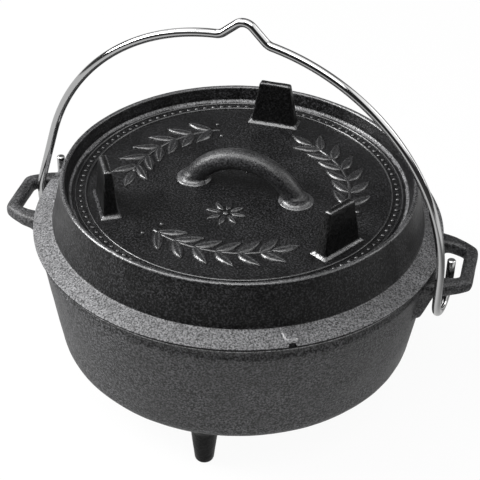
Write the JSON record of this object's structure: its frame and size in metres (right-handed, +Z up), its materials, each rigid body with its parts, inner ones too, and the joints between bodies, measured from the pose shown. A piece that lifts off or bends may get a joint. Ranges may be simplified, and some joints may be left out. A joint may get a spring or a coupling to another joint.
{
  "type": "dutch oven",
  "caption": "Cast-iron camp dutch oven on three feet, with loop ears, a dished lid with legs and an arched handle, and a swinging wire bail.",
  "frame": {"origin": "on the pot's axis, level with the tips of its feet", "axes": "+Z up along the pot's axis, +X towards the right ear, -Y towards the front foot"},
  "size_m": [0.315, 0.27, 0.2751],
  "materials": {
    "cast_iron": "sand-cast and seasoned, fine grain",
    "bail_wire": "bright drawn wire"
  },
  "bodies": {
    "pot": {"pot_body": "cast_iron", "right_ear": "cast_iron", "left_ear": "cast_iron", "front_foot": "cast_iron", "right_foot": "cast_iron", "left_foot": "cast_iron"},
    "lid": {"lid_plate": "cast_iron", "lid_rim": "cast_iron", "lid_handle": "cast_iron", "lid_leg_back": "cast_iron", "lid_leg_left": "cast_iron", "lid_leg_right": "cast_iron"},
    "bail": {"bail": "bail_wire"}
  },
  "joints": [
    {"name": "bail_swing", "type": "hinge", "parent": "pot", "child": "bail", "pos_m": [0, 0, 0.11], "axis": [0.9863, -0.1652, 0], "range_deg": [-90, 60]},
    {"name": "lid_lift", "type": "slide", "parent": "pot", "child": "lid", "axis": [0, 0, 1], "range_m": [0, 0.01]}
  ]
}
